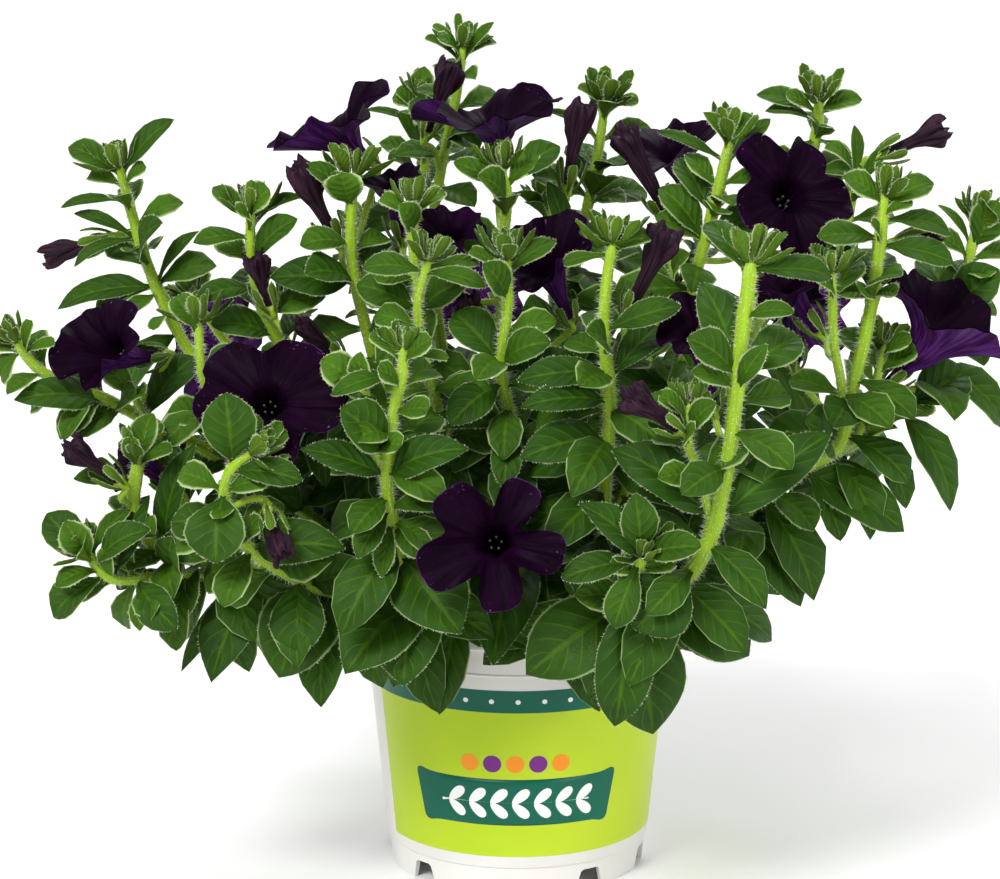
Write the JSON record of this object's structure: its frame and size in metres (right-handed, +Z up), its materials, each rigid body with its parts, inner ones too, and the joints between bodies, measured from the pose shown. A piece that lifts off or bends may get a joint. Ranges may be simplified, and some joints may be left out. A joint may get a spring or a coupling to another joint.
{
  "type": "potted trailing petunia",
  "caption": "Bushy trailing petunia with dark purple trumpet flowers, grown in a round tapered nursery pot.",
  "frame": {"origin": "centre of the pot's flat base pad, on the floor", "axes": "+Z up along the pot's axis, -Y towards the front of the plant, +X to the right"},
  "size_m": [0.3617, 0.2891, 0.312],
  "materials": {
    "pot": "smooth white plastic with a printed lime and teal band",
    "soil": "moist crumbly peat",
    "foliage": "finely hairy green leaves and stems",
    "petals": "velvety dark purple",
    "faded_petals": "dry, crumpled, nearly black purple"
  },
  "bodies": {
    "root": {"pot": "pot", "soil": "soil", "shoot_left_tall": "foliage", "shoot_left_far": "foliage", "shoot_left_low": "foliage", "shoot_left_front": "foliage", "shoot_left_middle": "foliage", "shoot_centre_left": "foliage", "shoot_centre_small": "foliage", "shoot_top_left": "foliage", "shoot_centre": "foliage", "shoot_front_centre": "foliage", "shoot_front_left": "foliage", "shoot_top_right": "foliage", "shoot_right_centre": "foliage", "shoot_front_right_mid": "foliage", "shoot_front_right": "foliage", "shoot_front_low": "foliage", "shoot_right_top": "foliage", "shoot_right_long": "foliage", "shoot_back_left": "foliage", "shoot_back_left_mid": "foliage", "shoot_back_left_high": "foliage", "shoot_back_low": "foliage", "shoot_back_high": "foliage", "shoot_back_right_low": "foliage", "shoot_back_right_mid": "foliage", "shoot_back_right": "foliage", "bloom_top_left": "petals", "bloom_top_centre": "petals", "bloom_left_far": "petals", "bloom_left_front": "petals", "bloom_front": "petals", "bloom_right_top": "petals", "bloom_right_far": "petals", "bloom_centre": "petals", "bloom_front_right": "petals", "bloom_right_inner": "petals", "bloom_left_low": "petals", "bloom_right_high": "petals", "bloom_centre_left": "petals", "bloom_right_small": "petals", "bloom_centre_dark": "petals", "bloom_back": "petals", "bloom_back_right": "petals", "bloom_back_left": "petals", "wilted_top": "faded_petals", "wilted_top_right": "faded_petals", "wilted_right": "faded_petals", "wilted_front": "faded_petals", "wilted_left_high": "faded_petals", "wilted_left_small": "faded_petals", "wilted_left_low": "faded_petals", "wilted_front_low": "faded_petals", "wilted_left_tall": "faded_petals", "wilted_right_top": "faded_petals", "wilted_front_right": "faded_petals", "bud_left": "faded_petals", "wilted_right_far": "faded_petals", "bud_centre": "faded_petals"}
  },
  "joints": []
}
